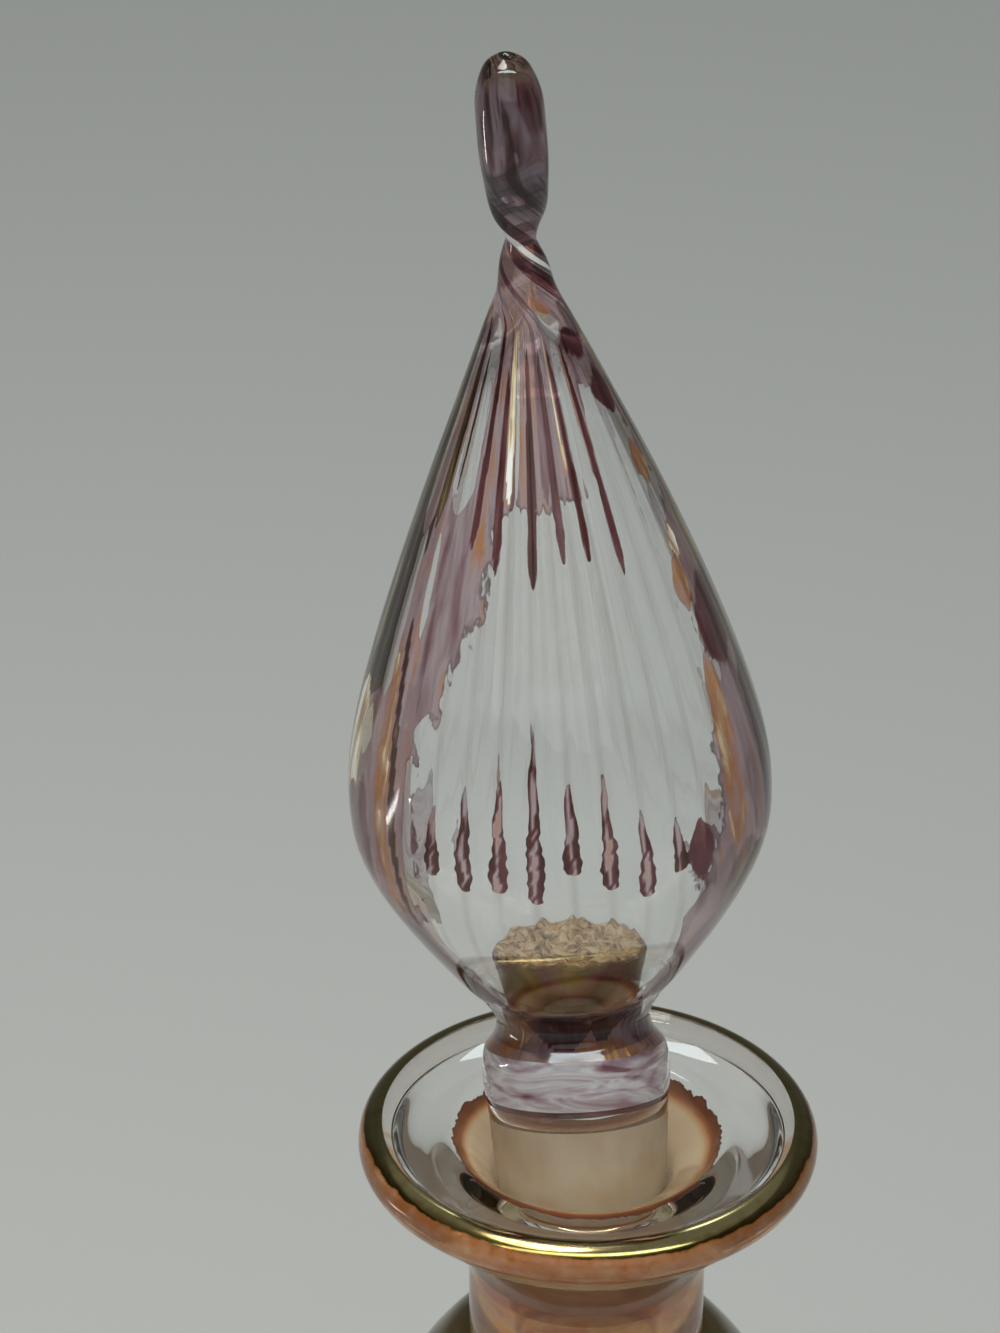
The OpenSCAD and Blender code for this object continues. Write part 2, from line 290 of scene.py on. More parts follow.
def spin(name, runs, form=upright, around=288, roll=6.0, fields=None, twist=None):
    """Spins runs, a list of (outline points, material) that follow each other round the section.

    form moves the points, roll is the even cylinder's radius, fields gives more numbers to keep
    at each point, and twist says how far the mesh's lines are turned at each height.
    """
    line, finish, materials = [], [], []
    for points, material in runs:
        if material not in materials:
            materials.append(material)
        if line:
            points = points[1:] if np.allclose(points[0], line[-1], atol=SAME_MM) else points
            finish += [materials.index(material)] * len(points)
        else:
            finish += [materials.index(material)] * (len(points) - 1)
        line += points
    line = np.array(line)
    if np.allclose(line[0], line[-1], atol=SAME_MM):
        line = line[:-1]
    count = len(line)
    r = np.repeat(line[:, :1], around, 1)
    z = np.repeat(line[:, 1:], around, 1)
    turned = np.tile(np.arange(around) * math.tau / around, (count, 1))
    turn = turned - (twist(z) if twist else 0)
    x, y, up = form(r, turn, z)
    ids = np.arange(count * around).reshape(count, around)
    centred = line[:, 0] < SAME_MM
    ids[centred] = ids[centred, :1]
    after = np.roll(ids, -1, 0)
    quads = np.stack([ids, np.roll(ids, -1, 1), np.roll(after, -1, 1), after], -1)
    finish = (finish + [finish[-1]])[:count]
    faces, slots = [], []
    for row in range(count):
        if centred[row] and centred[(row + 1) % count]:
            continue
        for quad in quads[row].tolist():
            faces.append(list(dict.fromkeys(quad)))
            slots.append(finish[row])
    used = np.unique(ids)
    place = np.zeros(count * around, int)
    place[used] = np.arange(len(used))
    faces = [[int(place[v]) for v in face] for face in faces]
    mesh = bpy.data.meshes.new(name)
    points = np.stack([x, y, up], -1).reshape(-1, 3)[used] * MM
    mesh.from_pydata(points.tolist(), [], faces)
    for material in materials:
        mesh.materials.append(material)
    mesh.polygons.foreach_set("material_index", slots)
    mesh.shade_smooth()
    mesh.set_sharp_from_angle(angle=CREASE)
    rolled = np.stack([roll * np.sin(turned), -roll * np.cos(turned), z], -1)
    kept = mesh.attributes.new("rolled", "FLOAT_VECTOR", "POINT")
    kept.data.foreach_set("vector", rolled.reshape(-1, 3)[used].ravel())
    for field, values in (fields(turn, z, r) if fields else {}).items():
        kept = mesh.attributes.new(field, "FLOAT", "POINT")
        kept.data.foreach_set("value", np.broadcast_to(values, z.shape).ravel()[used])
    made = bpy.data.objects.new(name, mesh)
    bpy.context.collection.objects.link(made)
    print(name, len(mesh.polygons), "faces")
    return made


# %% [markdown]
# ## Clear soda glass
#
# The bottle is soda-lime glass, worked in the flame, so its skin is fire-polished and has no
# grain at all: the eye sees only reflections and what lies behind. Soda glass has an index of
# about 1.52, and thick parts look faintly grey-green.
#
# Where two gathers were fused there is no surface left inside. Each mesh is still closed there,
# so that seat has an alpha of 0: light passes it as if it weren't there.

# %% Clear glass and the fused seat
SODA_GLASS_IOR = 1.52


def glass(tree, colour, roughness=0.015, transmission=1.0, normal=None):
    """Ends a glass material with the colour and finish that were worked out for it."""
    inputs = {"Base Color": colour, "Roughness": roughness, "IOR": SODA_GLASS_IOR,
              "Transmission Weight": transmission}
    if normal:
        inputs["Normal"] = normal
    shader = add(tree, "BsdfPrincipled", {}, inputs)
    add(tree, "OutputMaterial", {}, {"Surface": shader})


# Fire-polished soda glass, bright and clear. Its tint drifts a little, as its thickness does.
clear_glass, tree = new_material("fire_polished_soda_glass")
rolled = add(tree, "Attribute", {"attribute_name": "rolled"}, out=1)
WAVE_MM = 3.0
wave = add(tree, "TexNoise", {}, {"Vector": rolled, "Scale": 1 / WAVE_MM, "Detail": 1.0})
tint = add(tree, "ValToRGB", {}, {"Fac": wave}, [(0.3, "#fcfdfc"), (0.7, "#ffffff")])
glass(tree, tint)

fused_seat, tree = new_material("fused_glass_seat")
add(tree, "OutputMaterial", {}, {"Surface": add(tree, "BsdfPrincipled", {}, {
    "Base Color": srgb("#ffffff"), "Alpha": 0.0})})
print("glass", clear_glass.name, "and", fused_seat.name)

# %% [markdown]
# ## Lustre on ribbed glass
#
# The lilac, maroon and amber patches are a lustre: a metal film painted on and fired. It burnt
# away where the glass was hottest, in the middle of each side, and stayed in the grooves
# between the ribs, so its edge is ragged and ends in long spindles. It is darkest along its
# rim, where it drew together.
#
# Numbers are kept at each point of the mesh: how far inside the lustre the point lies (cover),
# which colour the film has there (hue), and on the flame how much of a brown residue and of a
# breath of haze the burnt film left on the bare glass. On the flame, cover and hue also carry a
# few strokes of painted shade, highlight and reflection. Noise in the nodes makes the edge ragged
# at about 1.6 mm and speckled at 0.35 mm, stretched along the ribs as the film ran.

# %% Lustre
LUSTRE_COLOURS = [(0.0, "#a58a4c"), (0.1, "#33240f"), (0.24, "#2c0807"), (0.38, "#5e2428"),
                  (0.52, "#8b6068"), (0.66, "#b9a0a8"), (0.82, "#c9783a"), (0.93, "#f1dcae"),
                  (1.0, "#f6f0ee")]
HAZE = 0.9                              # share of the light that passes straight through haze
RAGGED_DEPTH, GRIT_DEPTH = 1.6, 0.7     # how much the two noises shift the film's edge


def lustre(name, ragged_mm=1.6, speckle_mm=0.35, column_mm=0.6, column_share=0.26,
           clearness=0.8, colours=LUSTRE_COLOURS):
    """Glass with a fired film, ragged and speckled at its edge, streaked inside it."""
    made, tree = new_material(name)
    rolled = add(tree, "Attribute", {"attribute_name": "rolled"}, out=1)
    cover = add(tree, "Attribute", {"attribute_name": "cover"}, out=2)
    hue = add(tree, "Attribute", {"attribute_name": "hue"}, out=2)
    # The film's edge: cover, eaten into by the ragged noise and by the grit.
    along = add(tree, "Mapping", {}, {"Vector": rolled, "Scale": (1, 1, 0.45)})
    ragged = add(tree, "TexNoise", {}, {"Vector": along, "Scale": 1 / ragged_mm, "Detail": 3.0,
                                        "Roughness": 0.6, "Distortion": 0.4})
    speckle = add(tree, "TexNoise", {}, {"Vector": along, "Scale": 1 / speckle_mm,
                                         "Detail": 2.0})
    columns_place = add(tree, "Mapping", {}, {"Vector": rolled, "Scale": (1, 1, 0.16)})
    columns = add(tree, "TexNoise", {}, {"Vector": columns_place, "Scale": 1 / column_mm,
                                         "Detail": 2.0, "Distortion": 0.3})
    edge = add(tree, "Math", {"operation": "MULTIPLY_ADD"},
               {0: ragged, 1: RAGGED_DEPTH, 2: -RAGGED_DEPTH / 2})
    grit = add(tree, "Math", {"operation": "MULTIPLY_ADD"},
               {0: speckle, 1: GRIT_DEPTH, 2: -GRIT_DEPTH / 2})
    inside = add(tree, "Math", {"operation": "ADD"}, {0: cover, 1: edge})
    inside = add(tree, "Math", {"operation": "ADD"}, {0: inside, 1: grit})
    mask = add(tree, "MapRange", {"interpolation_type": "SMOOTHSTEP"},
               {"Value": inside, "From Min": -0.03, "From Max": 0.07})
    rim = add(tree, "MapRange", {"interpolation_type": "SMOOTHSTEP"},
              {"Value": inside, "From Min": 0.06, "From Max": 0.24, "To Min": 0.35,
               "To Max": 1.0})
    # Its colour: hue, which drifts in columns along the ribs.
    drift = add(tree, "Math", {"operation": "MULTIPLY_ADD"},
                {0: columns, 1: 2 * column_share, 2: -column_share})
    shade = add(tree, "Math", {"operation": "ADD", "use_clamp": True}, {0: hue, 1: drift})
    film = add(tree, "ValToRGB", {}, {"Fac": shade}, colours)
    film = add(tree, "Mix", {"data_type": "RGBA", "blend_type": "MULTIPLY"},
               {0: 1.0, 6: film, 7: rim}, out=2)
    # The bare glass, and then film and bare glass together.
    residue = add(tree, "Attribute", {"attribute_name": "residue"}, out=2)
    residue = add(tree, "Math", {"operation": "MULTIPLY"}, {0: residue, 1: columns})
    bare = add(tree, "Mix", {"data_type": "RGBA"},
               {0: residue, 6: srgb("#fefefd"), 7: srgb("#ab9a93")}, out=2)
    colour = add(tree, "Mix", {"data_type": "RGBA"}, {0: mask, 6: bare, 7: film}, out=2)
    milky = add(tree, "MapRange", {}, {"Value": shade, "From Min": 0.86, "From Max": 1.0,
                                       "To Min": clearness, "To Max": 0.4 * clearness})
    haze = add(tree, "Attribute", {"attribute_name": "haze"}, out=2)
    bare_through = add(tree, "MapRange", {}, {"Value": haze, "To Min": 1.0, "To Max": HAZE})
    through = add(tree, "Mix", {}, {0: mask, 2: bare_through, 3: milky})
    gloss = add(tree, "MapRange", {}, {"Value": mask, "To Min": 0.015, "To Max": 0.1})
    glass(tree, colour, gloss, through)
    return made


flame_film_and_painted_light = lustre("fired_lustre_and_painted_light_on_ribbed_glass")
print("lustre", flame_film_and_painted_light.name)

# %% [markdown]
# ## Stained and coloured glass
#
# The foot, the throat and the neck's bore carry an amber stain, which silver salts give: it goes
# into the glass and leaves the surface bright. A thin lustre lies over it on the neck and on the
# front of the flare above. The collar, the finial and the knop are gathers of lilac glass,
# coloured by manganese, with maroon streaks that were pulled out as the glass was worked. A
# maroon seam runs under the collar, where it was stuck to the plug.
#
# Their colour runs in streaks, so one function makes them. It takes the streaks' colours, how
# they were stretched along the piece, and their width in millimetres. Only the throat's stain
# has a ragged edge, so it is made as the lustre is.

# %% Amber and lilac
WORKED_SKIN = 0.03      # roughness of glass that was worked after it was polished in the fire


def streaked(name, stops, stretch, streak_mm, transmission=1.0, banded=False):
    """Glass whose colour runs in streaks. Its bands, where it has any, lie over them."""
    made, tree = new_material(name)
    rolled = add(tree, "Attribute", {"attribute_name": "rolled"}, out=1)
    place = add(tree, "Mapping", {}, {"Vector": rolled, "Scale": stretch})
    streak = add(tree, "TexNoise", {}, {"Vector": place, "Scale": 1 / streak_mm, "Detail": 3.0,
                                        "Distortion": 0.8})
    tone = add(tree, "ValToRGB", {}, {"Fac": streak}, stops)
    if banded:
        cover = add(tree, "Attribute", {"attribute_name": "cover"}, out=2)
        hue = add(tree, "Attribute", {"attribute_name": "hue"}, out=2)
        band = add(tree, "ValToRGB", {}, {"Fac": hue}, LUSTRE_COLOURS)
        tone = add(tree, "Mix", {"data_type": "RGBA"}, {0: cover, 6: tone, 7: band}, out=2)
        milky = add(tree, "MapRange", {}, {"Value": hue, "From Min": 0.86, "From Max": 1.0,
                                           "To Min": transmission, "To Max": 0.3})
        transmission = add(tree, "Mix", {}, {0: cover, 2: transmission, 3: milky})
    glass(tree, tone, WORKED_SKIN, transmission)
    return made


# The foot: stained amber, deeper where the stain went in further.
amber_stain = streaked("silver_stained_amber_glass",
                       [(0.3, "#8f5226"), (0.5, "#cf9560"), (0.7, "#e8c79c")],
                       (1, 1, 1.6), 2.4, transmission=0.85)
# The knop: lilac, with dark streaks drawn out along it.
lilac_glass = streaked("manganese_lilac_glass",
                       [(0.3, "#4c3037"), (0.45, "#846b74"), (0.7, "#b7a2aa")],
                       (1, 1, 0.25), 1.6)
# The finial: the same glass in finer streaks of maroon and brown, with the twist's bands on it.
finial_glass = streaked("manganese_glass_pulled_in_streaks",
                        [(0.36, "#1d0607"), (0.42, "#5b2c30"), (0.47, "#87727c"),
                         (0.58, "#a48f9b"), (0.66, "#47281e")],
                        (1, 1, 0.16), 0.9, banded=True)
# The collar: paler and cloudy, in streaks that run round it, and the dark seam under it.
collar_glass = streaked("manganese_glass_in_the_collar",
                        [(0.34, "#7c4a54"), (0.43, "#c2a8b0"), (0.52, "#efeaea"),
                         (0.64, "#b08890")],
                        (0.45, 0.45, 1.3), 2.0, transmission=0.5)
collar_seam = streaked("maroon_seam_under_the_collar", [(0.35, "#1c0806"), (0.65, "#6a2a16")],
                       (0.5, 0.5, 1), 1.5, transmission=0.7)
# The neck: a cloudy orange stain in the bore, and a clear amber film outside.
neck_stain = streaked("silver_stain_in_the_bore",
                      [(0.3, "#e8852a"), (0.43, "#f6a850"), (0.55, "#fad094"), (0.66, "#f0ac78")],
                      (0.4, 0.4, 1.3), 1.6, transmission=0.5)
neck_film = streaked("thin_lustre_on_the_neck",
                     [(0.35, "#eca45c"), (0.48, "#f4c896"), (0.6, "#dca890")],
                     (0.4, 0.4, 1.3), 1.8, transmission=0.85)
# The flare under the lip: clear, with a film only where its fields put one.
flare_film = streaked("thin_lustre_under_the_lip", [(0.35, "#f6f8f7"), (0.65, "#ffffff")],
                      (0.4, 0.4, 1.3), 1.8, banded=True)
# The throat: pale amber, darkest along its ragged edge.
dish_stain = lustre("silver_stain_in_the_throat", ragged_mm=1.4, speckle_mm=0.4,
                    column_mm=2.0, column_share=0.15, clearness=0.45, colours=[
                        (0.0, "#5c2510"), (0.3, "#a2552a"), (0.6, "#cf935c"), (1.0, "#ecd0a8")])
print("streaked and stained:", *(made.name for made in (
    amber_stain, lilac_glass, finial_glass, collar_glass, collar_seam, neck_stain, neck_film,
    flare_film, dish_stain)))

# %% [markdown]
# ## Ground glass, the broken core and the gold
#
# The plug was ground with grit until it fitted its socket, so it is matt and scatters light.
# The core in the waist is amber glass that was snapped off, and its top is rough and pale. It is
# so dark that no light is let through it here. The gold on the lip is fired lustre gold: bright
# on top and coppery below, where it is thin.

# %% Ground glass
GRIT_MM, CLOUD_MM = 0.12, 2.2      # the dents that the grit left, and the clouds in the matt skin
ground_glass, tree = new_material("ground_soda_glass")
rolled = add(tree, "Attribute", {"attribute_name": "rolled"}, out=1)
grit = add(tree, "TexNoise", {}, {"Vector": rolled, "Scale": 1 / GRIT_MM, "Detail": 2.0})
cloud = add(tree, "TexNoise", {}, {"Vector": rolled, "Scale": 1 / CLOUD_MM, "Detail": 3.0})
tone = add(tree, "ValToRGB", {}, {"Fac": cloud}, [(0.3, "#e0c4a0"), (0.7, "#f0e0c8")])
dents = add(tree, "Bump", {}, {"Height": grit, "Strength": 0.25, "Distance": 0.05 * MM})
glass(tree, tone, roughness=0.55, transmission=0.55, normal=dents)

# %% The core's glass
# Blotches run through its dark side. Its top is pale splinters, which lie in layers. Glass lies
# close round it, so it has little gleam of its own.
core_glass, tree = new_material("snapped_amber_core")
inside_it = add(tree, "TexCoord", out=3)
rough_top = add(tree, "Attribute", {"attribute_name": "broken"}, out=2)
BLOTCH_MM, CHIP_MM = 4.5, 0.45
blotch = add(tree, "TexNoise", {}, {"Vector": inside_it, "Scale": 1 / (BLOTCH_MM * MM),
                                    "Detail": 2.5, "Distortion": 0.6})
body_tone = add(tree, "ValToRGB", {}, {"Fac": blotch}, [
    (0.36, "#2c0a08"), (0.45, "#743226"), (0.52, "#80504a"), (0.6, "#86701c"), (0.7, "#c89048")])
layers = add(tree, "Mapping", {}, {"Vector": inside_it, "Scale": (0.5, 1.6, 1.6)})
chip = add(tree, "TexNoise", {}, {"Vector": layers, "Scale": 1 / (CHIP_MM * MM), "Detail": 3.0,
                                  "Distortion": 0.5})
top_tone = add(tree, "ValToRGB", {}, {"Fac": chip}, [
    (0.35, "#75501f"), (0.48, "#d6a868"), (0.62, "#fae0ac")])
tone = add(tree, "Mix", {"data_type": "RGBA"}, {0: rough_top, 6: body_tone, 7: top_tone}, out=2)
gloss = add(tree, "MapRange", {}, {"Value": rough_top, "To Min": 0.3, "To Max": 0.6})
rough = add(tree, "Math", {"operation": "MULTIPLY"}, {0: chip, 1: rough_top})
chipped = add(tree, "Bump", {}, {"Height": rough, "Strength": 0.8, "Distance": 0.2 * MM})
add(tree, "OutputMaterial", {}, {"Surface": add(tree, "BsdfPrincipled", {}, {
    "Base Color": tone, "Roughness": gloss, "IOR": SODA_GLASS_IOR, "Specular IOR Level": 0.12,
    "Normal": chipped})})

# %% The gold
# Thick gold is a bright metal. Thin gold lets light through and looks coppery.
WEAR_MM = 0.8           # patches where it is worn a little
gold, tree = new_material("fired_lustre_gold")
bright = add(tree, "Attribute", {"attribute_name": "thick"}, out=2)
rolled = add(tree, "Attribute", {"attribute_name": "rolled"}, out=1)
wear = add(tree, "TexNoise", {}, {"Vector": rolled, "Scale": 1 / WEAR_MM, "Detail": 4.0})
wear = add(tree, "Math", {"operation": "MULTIPLY_ADD"}, {0: wear, 1: 0.5, 2: -0.25})
level = add(tree, "Math", {"operation": "ADD", "use_clamp": True}, {0: bright, 1: wear})
tone = add(tree, "ValToRGB", {}, {"Fac": level}, [
    (0.0, "#fdf8f0"), (0.12, "#eab285"), (0.32, "#cf7c42"), (0.5, "#5d5128"),
    (0.75, "#7f7144"), (1.0, "#9c9166")])
solid_gold = add(tree, "MapRange", {"interpolation_type": "SMOOTHSTEP"},
                 {"Value": level, "From Min": 0.3, "From Max": 0.5})
thin_film = add(tree, "MapRange", {"interpolation_type": "SMOOTHSTEP"},
                {"Value": level, "From Min": 0.3, "From Max": 0.5, "To Min": 0.75, "To Max": 0.0})
add(tree, "OutputMaterial", {}, {"Surface": add(tree, "BsdfPrincipled", {}, {
    "Base Color": tone, "Metallic": solid_gold, "Roughness": 0.14,
    "Transmission Weight": thin_film})})
print("more finishes", ground_glass.name, core_glass.name, gold.name)

# %% [markdown]
# ## Foot, knop and body
#
# These lie below the picture's edge. They are made as this kind of bottle has them: a pressed
# foot with a hollow under it, a solid knop, and a pear-shaped body blown in a ribbed mould,
# which gives it the same ribs as the flame. The body stays 0.02 mm inside its solid, so that
# nothing of the dressed bottle is past the CAD model's box.

# %% Heights of the seats
FOOT_H, KNOP_H, BELLY_H, SHOULDER_H, NECK_H, LIP_H = 6.5, 7.0, 30.0, 49.5, 5.0, 10.0
BODY_Z = FOOT_H + KNOP_H
BELLY_Z = BODY_Z + BELLY_H
NECK_Z = BELLY_Z + SHOULDER_H
LIP_Z = NECK_Z + NECK_H
TOP_Z = LIP_Z + LIP_H
STEM_R, KNOP_R, BODY_R, NECK_R, BORE_R = 4.5, 6.5, 21.48, 7.0, 4.3
print("top of the lip at", TOP_Z, "mm")

# %% The foot and the knop
FOOT_R, FOOT_EDGE_R, REST_W, KICK_UP, GOLD_T = 19.0, 1.3, 5.0, 2.0, 0.2
GOLD_HALF = 35.0        # degrees up and down from the foot's rim that the gold reaches
edge_centre = (FOOT_R - FOOT_EDGE_R, FOOT_EDGE_R)
rest_r = edge_centre[0] - REST_W
under = smooth([(rest_r * a, KICK_UP * b) for a, b in [(0, 1), (0.5, 0.8), (0.8, 0.35), (1, 0)]])
low_edge = arc(edge_centre, FOOT_EDGE_R, -90, -GOLD_HALF)
seat = arc(edge_centre, FOOT_EDGE_R - GOLD_T, -GOLD_HALF, GOLD_HALF)
high_edge = arc(edge_centre, FOOT_EDGE_R, GOLD_HALF, 90)
top_w = edge_centre[0] - STEM_R
top = smooth([high_edge[-1]] + [
    (STEM_R + top_w * a, 2 * FOOT_EDGE_R + (FOOT_H - 2 * FOOT_EDGE_R) * b)
    for a, b in [(0.75, 0.12), (0.5, 0.27), (0.25, 0.5), (0.08, 0.78), (0, 1)]])
foot = spin("foot_disc_glass", [
    (under + low_edge, amber_stain), (seat + high_edge[:1], fused_seat),
    (high_edge + top, amber_stain),
    ([(STEM_R, FOOT_H), (0, FOOT_H)], fused_seat)], roll=12.0)
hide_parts("foot_disc")
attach(foot, "bottle")

knop_side = smooth(swell([(0, 0), (0.2, 0.6), (0.35, 0.9), (0.5, 1), (0.65, 0.9), (0.8, 0.6),
                          (1, 0)], FOOT_H, KNOP_H, STEM_R, KNOP_R))
knop = spin("stem_knop_glass", [
    ([(0, FOOT_H), (STEM_R, FOOT_H)], fused_seat), (knop_side, lilac_glass),
    ([(STEM_R, BODY_Z), (0, BODY_Z)], fused_seat)])
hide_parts("stem_knop")
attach(knop, "bottle")

# %% [markdown]
# The body's ribs are left between 36 shallow grooves, which fade out towards the stem and the
# neck. The film on it follows the flame's: it hangs from the neck and rises from the stem in
# points, with a clear band between, and one broad patch lies across that band at the +X side.

# %% The body
RIBS = 36
BODY_WALL, BODY_FLOOR, BODY_GROOVE = 1.8, 3.0, 0.3
SKIN_MM = 0.05                  # the points this near to the outline lie on the outside
CLEAR_FROM, CLEAR_TO = 30, 66   # heights between which the glass is mostly clear
AMBER_FROM, AMBER_TO = 74, 84   # heights over which the film turns amber towards the neck
PATCH_TURN = 1.9                # where the broad patch is, in radians round from the front
body_side = smooth(
    swell([(0, 0), (0.05, 0.1), (0.15, 0.32), (0.35, 0.66), (0.6, 0.88), (0.8, 0.97)],
          BODY_Z, BELLY_H, STEM_R, BODY_R) + [(BODY_R, BELLY_Z)]
    + swell([(0.2, 0.965), (0.4, 0.84), (0.6, 0.65), (0.8, 0.41), (0.9, 0.28), (0.97, 0.12),
             (1, 0)], BELLY_Z, SHOULDER_H, NECK_R, BODY_R))
body_side = even(body_side, 0.6)
floor_z = BODY_Z + BODY_FLOOR
body_inside = [(max(r - BODY_WALL, BORE_R), z) for r, z in body_side if floor_z < z < NECK_Z]
body_inside = [(0, floor_z)] + body_inside + [(BORE_R, NECK_Z)]


def body_form(r, turn, z):
    """Cuts the ribs' grooves into the outside, fading out towards the stem and the neck."""
    outer = np.interp(z, [q[1] for q in body_side], [q[0] for q in body_side])
    outside = r > outer - SKIN_MM
    depth = (BODY_GROOVE * ease(z, BODY_Z + 2, BODY_Z + 14)
             * (1 - ease(z, NECK_Z - 22, NECK_Z - 6)))
    groove = 0.5 - 0.5 * np.cos(RIBS * turn)
    return upright(r - depth * groove * outside, turn, z)


def body_fields(turn, z, r):
    """Where the body's film lies. Its points wander from rib to rib, and so does its colour."""
    phase = RIBS * turn / math.tau
    rib = np.abs(phase - np.round(phase)) * 2
    number = np.floor(phase + 0.5)
    wander = np.sin(number * 2.4) + 0.6 * np.sin(number * 1.1 + 1)
    upper = (z - (CLEAR_TO + 4 * wander + 9 * (1 - rib))) / 5
    lower = ((CLEAR_FROM + 3 * wander - 7 * (1 - rib)) - z) / 4
    side = np.cos(turn - PATCH_TURN) * 1.5 - 1.0 + 0.4 * np.sin(z / 7)
    cover = np.clip(np.maximum(np.maximum(upper, lower), side), -1, 1)
    hue = 0.52 + 0.22 * np.sin(3 * turn + z / 16)
    hue = hue + (-0.08 - hue) * ease(z, AMBER_FROM, AMBER_TO)
    return {"cover": cover, "hue": hue}


# The same fired film in a coarser hand, because the body is larger.
body_lustre = lustre("fired_lustre_on_the_body", ragged_mm=2.6, speckle_mm=0.5, column_mm=1.8,
                     column_share=0.4)
body = spin("body_bulb_glass", [
    ([(0, BODY_Z), (STEM_R, BODY_Z)], fused_seat), (body_side, body_lustre),
    ([(NECK_R, NECK_Z), (BORE_R, NECK_Z)], fused_seat),
    (even(body_inside[::-1], 0.9), clear_glass)], form=body_form, around=RIBS * 10,
    roll=16.0, fields=body_fields)
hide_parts("body_bulb")
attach(body, "bottle")

# %% [markdown]
# ## Neck and lip
#
# The neck is a thick tube. Its wall acts as a lens, so the amber stain inside the bore seems to
# fill it almost to the edge. The lip was flared and pressed, and its top is dished: it falls
# from the gilded edge to a throat, where the ground socket begins. The socket leans, because
# the stopper was ground in by hand. The stain fills the throat and the bore, and the neck's
# outside has its thin film.

# %% The neck
LEDGE_R = 4.75          # just outside the bottom of the socket, where the neck's ledge shows
neck = spin("neck_tube_glass", [
    (even([(NECK_R, NECK_Z), (NECK_R, LIP_Z)], 0.5), neck_film),
    ([(NECK_R, LIP_Z), (LEDGE_R, LIP_Z)], fused_seat),
    ([(LEDGE_R, LIP_Z), (BORE_R, LIP_Z)], neck_stain),
    (even([(BORE_R, LIP_Z), (BORE_R, NECK_Z)], 0.5), neck_stain),
    ([(BORE_R, NECK_Z), (NECK_R, NECK_Z)], fused_seat)])
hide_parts("neck_tube")
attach(neck, "bottle")

# %% The lip
LIP_R, LIP_EDGE_R, MOUTH_R, DISH, THROAT = 13.45, 1.4, 8.0, 1.1, 4.4
PLUG_TOP_R, PLUG_TAPER, PLUG_RISE, CLEARANCE = 5.3, 0.11, 1.6, 0.05
LEAN = math.radians(3.1)
lip_centre = (LIP_R - LIP_EDGE_R, TOP_Z - LIP_EDGE_R)
GOLD_LOW, GOLD_HIGH = -80.0, 90.0       # degrees of the rounded edge that the gold covers
plug_top = LIP_H + PLUG_RISE


def plug_r(height):
    """The plug's radius at a height on the stopper's axis, from the bottom of the socket."""
    return PLUG_TOP_R - PLUG_TAPER / 2 * (plug_top - height)


lip_bottom = arc(lip_centre, LIP_EDGE_R, GOLD_LOW, GOLD_LOW)[0]
flare = smooth([(NECK_R + (lip_bottom[0] - NECK_R) * b,
                 lip_bottom[1] - (lip_bottom[1] - LIP_Z) * a)
                for a, b in [(1, 0), (0.8, 0.04), (0.58, 0.17), (0.43, 0.38), (0.3, 0.62),
                             (0.16, 0.84), (0, 1)]])
socket_top_r = plug_r(LIP_H - THROAT) + CLEARANCE
dish = [(MOUTH_R + (lip_centre[0] - MOUTH_R) * a, TOP_Z - DISH * b)
        for a, b in [(0.8, 0.45), (0.4, 0.85), (0, 1)]]
throat = [(socket_top_r + (MOUTH_R - socket_top_r) * b, TOP_Z - DISH - (THROAT - DISH) * a)
          for a, b in [(0.14, 0.8), (0.36, 0.46), (0.66, 0.15), (1, 0)]]
top_line = smooth([(lip_centre[0], TOP_Z)] + dish + throat)
socket_r = plug_r(0) + CLEARANCE
STAIN_R, STAIN_REACH, STAIN_SOFT = 7.9, 0.8, 0.5
FILM_R, FILM_END_R, FILM_TONE = 7.6, 9.4, 0.74


def dish_fields(turn, z, r):
    """The stain fills the throat and spills out of it in front, and its edge is darker. On the
    flare below, the film lies in front and ends on the way up to the lip."""
    edge = STAIN_R + STAIN_REACH * np.clip(np.cos(turn), 0, 1) ** 2 + 0.12 * np.sin(3 * turn + 1)
    edge = edge - 0.5 * np.clip(-np.cos(turn), 0, 1)
    inside = (edge - r) / STAIN_SOFT
    below = (z < TOP_Z - DISH - 1.5) & (r > NECK_R - 0.1)     # under the lip, not on its top
    film = ease(np.cos(turn), 0.2, 0.6) * (1 - ease(r, FILM_R, FILM_END_R))
    return {"cover": np.where(below, film, np.clip(inside, -1, 1)),
            "hue": np.where(below, FILM_TONE, 0.05 + 0.8 * ease(inside, 0.6, 2.2))}


def lip_form(r, turn, z):
    """Leans the socket and the throat with the stopper and leaves the outside upright."""
    inner = (1 - ease(r, 5.4, 7.6)) * (r < 8)
    x, y, up = upright(r, turn, z)
    return x - math.tan(LEAN) * (z - LIP_Z) * inner, y, up


lip = spin("mouth_lip_glass", [
    (even(flare, 0.3), flare_film),
    (arc(lip_centre, LIP_EDGE_R - GOLD_T, GOLD_LOW, GOLD_HIGH, 40)
     + [(lip_centre[0], TOP_Z)], fused_seat),
    (even(top_line, 0.2), dish_stain),
    (even([top_line[-1], (socket_r, LIP_Z)], 0.4), ground_glass),
    ([(socket_r, LIP_Z), (NECK_R, LIP_Z)], fused_seat)],
    form=lip_form, around=360, roll=8.0, fields=dish_fields)
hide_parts("mouth_lip")
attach(lip, "bottle")

# %% [markdown]
# The gold skins lie on the rounded edges of the lip and of the foot. Each is a thin ring with
# its own inner side. The gold is thick on top and thins to copper below.

# %% The gilding
GOLD_FROM, GOLD_OVER = 42, 40      # degrees up the edge: half thick there, and how slowly it grows


